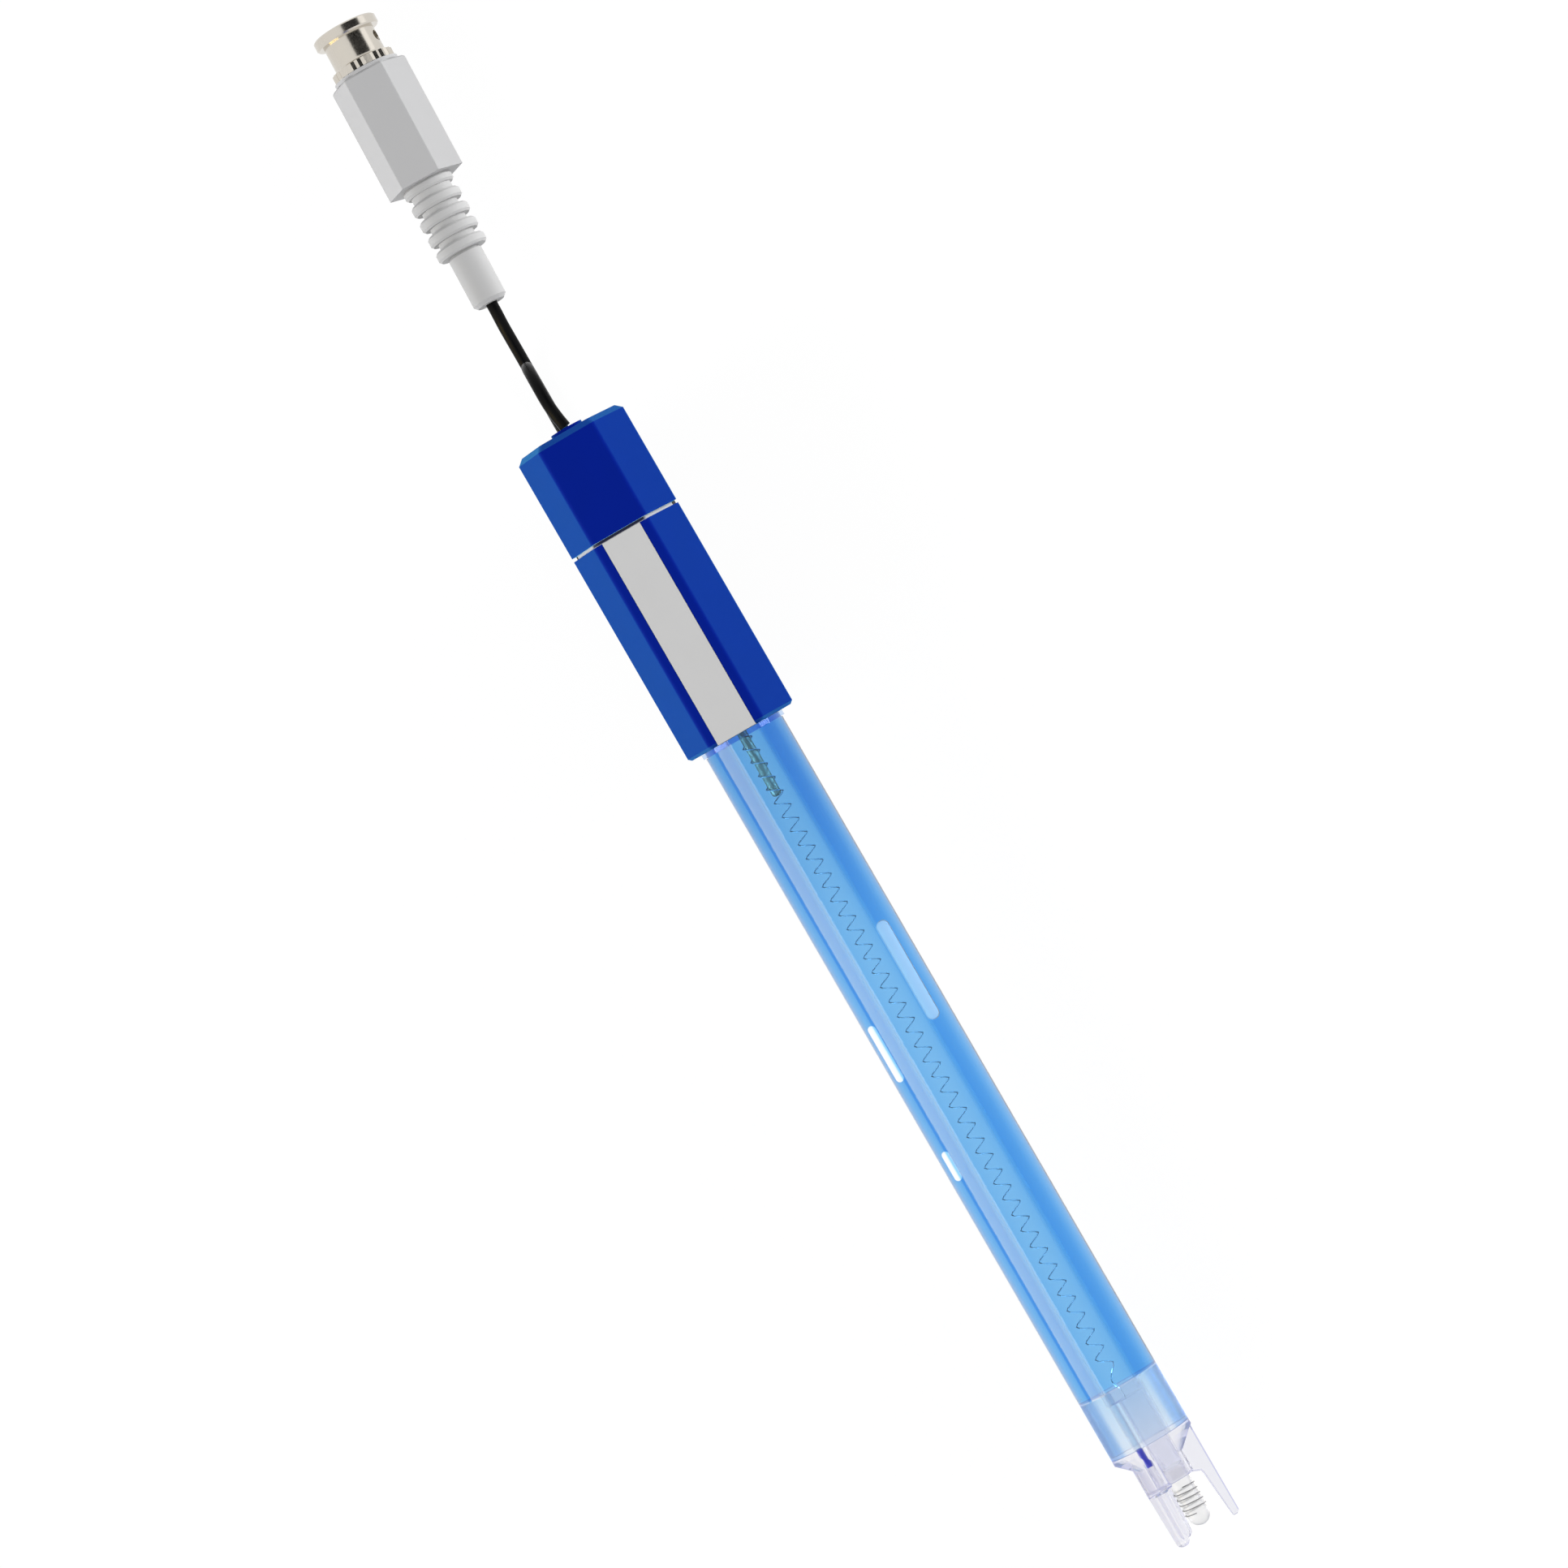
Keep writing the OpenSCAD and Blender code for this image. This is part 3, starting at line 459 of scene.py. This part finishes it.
lead_in = smooth(CAP_ROUTE, 4)
lead_in += arc(-1.386, 4.5, LEAD_BEND, 270.0, 333.3, LAYERS[0], 6)[1:-1]
lead_out = arc(-0.7, -8.2, LEAD_BEND, 32.9, 90.0, LAYERS[-1], 6)[1:-1]
lead_out += smooth(PLUG_ROUTE, 4)[::-1]
route = [Vector((p.x + ORIGIN.x, p.y, p.z)) * MM for p in lead_in + hank_path() + lead_out]
curve = bpy.data.curves.new("cable", "CURVE")
curve.dimensions = "3D"
curve.bevel_depth = CORD_D / 2 * MM
curve.bevel_resolution = 4
curve.use_fill_caps = True
spline = curve.splines.new("POLY")
spline.points.add(len(route) - 1)
for point, co in zip(spline.points, route):
    point.co = (*co, 1.0)
cable = bpy.data.objects.new("cable", curve)
bpy.context.scene.collection.objects.link(cable)
cable.data.materials.append(moulded("cable_jacket", srgb(6, 6, 7), rough=0.36, grain=0.08,
                                    spread=0.10, specular=0.09))
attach(cable, "root")
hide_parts("lead_cap_side", "cord_hank", "lead_plug_side")


# ---------------------------------------------------------------- tie strap
def strap_mesh():
    """Strap wound once round the hank, its end lapped over its start on top."""
    low, high = (Vector(c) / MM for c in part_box("cord_tie"))
    thick, side_thick = 0.45, 0.3  # the strap is stretched thinner at the hank's sides
    bend, bevel, lap_gap, end_width = 1.1, 0.12, 0.06, 0.8
    y0, y1 = low.y + side_thick, high.y - side_thick
    z0, z1 = low.z + thick, high.z - thick
    middle = (y0 + y1) / 2
    path = [(middle - 3.0, z1, 90.0)]  # y, z and the direction outwards in degrees
    for y, z, start in ((y1, z1, 90), (y1, z0, 0), (y0, z0, -90), (y0, z1, -180)):
        cy = y - bend if y == y1 else y + bend
        cz = z - bend if z == z1 else z + bend
        for k in range(7):
            angle = start - 15.0 * k
            path.append((cy + bend * math.cos(math.radians(angle)),
                         cz + bend * math.sin(math.radians(angle)), angle))
    for rise, y in ((0.0, -5.6), (0.5, -4.6), (1.0, -3.6), (1.0, 0.0), (1.0, 4.6)):
        path.append((middle + y, z1 + (thick + lap_gap) * rise, 90.0))
    half, middle_x = (high.x - low.x) / 2, (low.x + high.x) / 2
    ring, verts, faces = 8, [], []
    for i, (y, z, angle) in enumerate(path):
        out_y, out_z = math.cos(math.radians(angle)), math.sin(math.radians(angle))
        t = thick if abs(out_z) > 0.7 else side_thick
        w = half * (end_width if i == len(path) - 1 else 1.0)
        section = ((bevel - w, 0), (w - bevel, 0), (w, bevel), (w, t - bevel),
                   (w - bevel, t), (bevel - w, t), (-w, t - bevel), (-w, bevel))
        verts += [Vector((middle_x + x, y + out_y * d, z + out_z * d)) * MM for x, d in section]
    for i in range(len(path) - 1):
        for k in range(ring):
            a, b = i * ring + k, i * ring + (k + 1) % ring
            faces.append((a, b, b + ring, a + ring))
    last = (len(path) - 1) * ring
    faces += [tuple(range(ring - 1, -1, -1)), tuple(range(last, last + ring))]
    mesh = bpy.data.meshes.new("tie")
    mesh.from_pydata(verts, [], faces)
    mesh.update()
    return mesh


def strap_material():
    """Woven strap: fine ribs across it and a loose nap."""
    m = new_material("tie_strap")
    v = m.coords()
    rib_pitch = 0.6
    ribs = m.math("SINE", m.math("MULTIPLY", m.axes(v)["X"], 2 * math.pi / rib_pitch))
    nap = m.noise(v, 7.0, 4.0, 0.65)
    height = m.math("MULTIPLY_ADD", ribs, 0.35, nap)
    m.surface(m.node("ShaderNodeBsdfPrincipled", {
        "Base Color": m.blend(nap, srgb(20, 20, 22), srgb(40, 40, 44)),
        "Roughness": 0.85,
        "Specular IOR Level": 0.15,
        "Sheen Weight": 0.25,
        "Normal": m.bump(height, 0.5, 0.1 * MM),
    }))
    return m.owner


tie = bpy.data.objects.new("tie", strap_mesh())
bpy.context.scene.collection.objects.link(tie)
tie.data.materials.append(strap_material())
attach(tie, "root")
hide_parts("cord_tie")


# ---------------------------------------------------------------- stage and light
def plate(name, centre, across, along, material, camera_ray=True):
    """Four-cornered plate from its centre and its two half sides."""
    mesh = bpy.data.meshes.new(name)
    c, a, b = Vector(centre), Vector(across), Vector(along)
    mesh.from_pydata([c - a - b, c + a - b, c + a + b, c - a + b], [], [(0, 1, 2, 3)])
    mesh.materials.append(material)
    o = bpy.data.objects.new(name, mesh)
    bpy.context.scene.collection.objects.link(o)
    o.visible_camera = camera_ray
    return o


def floor_material():
    """White floor: seen directly or in glass or metal it is white, with the object's shadow."""
    m = new_material("floor")
    plain = m.node("ShaderNodeBsdfDiffuse", {"Color": (0.85, 0.85, 0.85, 1)})
    white = m.node("ShaderNodeEmission", {"Color": WHITE, "Strength": 1.03})
    m.surface(m.mix(m.math("MULTIPLY", m.seen(), 0.93), plain, white))
    return m.owner


plate("floor", (0, 0, 0), (3, 0, 0), (0, 3, 0), floor_material())

# The world is white where it is seen, and dimmer as a light.
sky = Shading(bpy.data.worlds.new("world"), "ShaderNodeOutputWorld")
bpy.context.scene.world = sky.owner
sky.surface(sky.node("ShaderNodeBackground", {
    "Color": WHITE, "Strength": sky.range(sky.seen(), 0.0, 1.0, 0.42, 1.0)}))


def bearing(degrees):
    """Unit vectors from the object at an angle to the right of the camera, and across that."""
    a = math.radians(degrees)
    return towards * math.cos(a) + side * math.sin(a), side * math.cos(a) - towards * math.sin(a)


LAMP_REACH = 0.65
PLUG_CARD_REACH = 0.35


def lamp(name, degrees, from_s, target_s, size, power):
    """Lamp at a bearing from one place of the axis, turned to another. Gloss doesn't show it."""
    position = place(from_s) + bearing(degrees)[0] * LAMP_REACH
    data = bpy.data.lights.new(name, "AREA")
    data.shape = "RECTANGLE"
    data.size, data.size_y = size
    data.energy = power
    o = bpy.data.objects.new(name, data)
    o.location = position
    o.rotation_euler = (place(target_s) - position).to_track_quat("-Z", "Y").to_euler()
    o.visible_glossy = False
    bpy.context.scene.collection.objects.link(o)


lamp("left", -72, 60.0, 60.0, (0.35, 0.5), 3.8)
lamp("right", 71, -50.0, -30.0, (0.35, 0.4), 3.9)


def card(name, degrees, centre, reach, half, colour, strength):
    """Card that only reflections show, as a photographer's flag or soft box.

    It stands at a bearing and a reach from a centre, with the given half width.
    """
    away, across = bearing(degrees)
    m = new_material(name)
    m.surface(m.node("ShaderNodeEmission", {"Color": colour, "Strength": strength}))
    o = plate(name, centre + away * reach, across * half, AXIS * 0.1, m.owner, camera_ray=False)
    for kind in ("diffuse", "transmission", "shadow", "volume_scatter"):
        setattr(o, "visible_" + kind, False)


# The first two are for the plug's metal, by half angles, and the others for the shaft.
by_plug = Vector((-0.150, -0.001, 0.005)) - AXIS * 0.105
for name, degrees, half, level in (("dark_card", 29, 32, 0.01), ("bright_card", 76, 14, 1.35)):
    card(name, degrees, by_plug, PLUG_CARD_REACH,
         PLUG_CARD_REACH * math.tan(math.radians(half)), WHITE, level)
card("softbox", -65, place(130.0), 0.5, 0.22, (1, 0.76, 0.32, 1), 6.6)
card("glint", -41, place(130.0), 0.49, 0.011, (1, 1, 0.8, 1), 7.0)

bpy.context.scene.view_settings.view_transform = "Standard"
